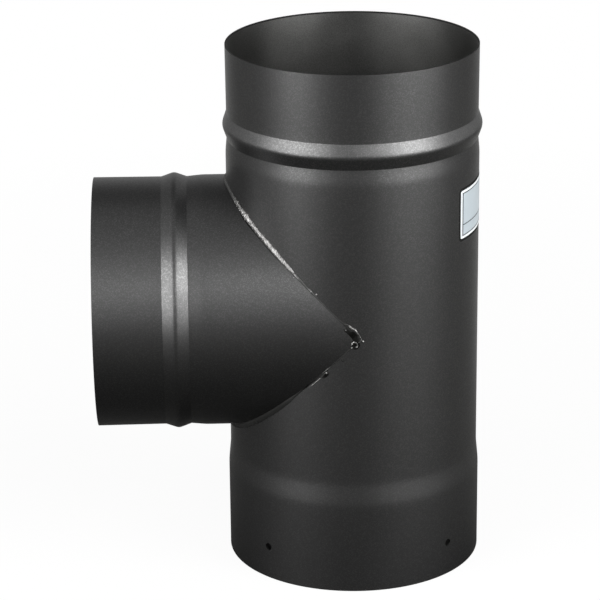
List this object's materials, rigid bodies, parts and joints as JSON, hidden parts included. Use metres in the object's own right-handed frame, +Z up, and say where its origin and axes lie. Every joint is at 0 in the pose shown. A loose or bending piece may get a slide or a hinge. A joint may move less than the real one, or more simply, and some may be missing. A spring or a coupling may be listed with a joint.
{
  "type": "stove pipe tee",
  "caption": "Single-wall stove pipe tee with an equal side branch, beaded spigots above and at the side, and a widened socket below.",
  "frame": {"origin": "centre of the bottom socket's mouth, on the run pipe's axis and level with its lower edge", "axes": "+Z up the run pipe's axis to the top spigot, -X along the branch's axis to its mouth"},
  "size_m": [0.2343, 0.1556, 0.322],
  "materials": {
    "stove_paint": "matt dark grey heat-resistant paint with a fine metallic grain",
    "weld_bead": "uneven weld bead, painted over with bare bright patches",
    "label_film": "pale printed film, bare but for a thin frame line"
  },
  "bodies": {
    "root": {"run_pipe": "stove_paint", "branch_pipe": "stove_paint", "saddle_weld": "weld_bead", "label": "label_film"}
  },
  "joints": []
}
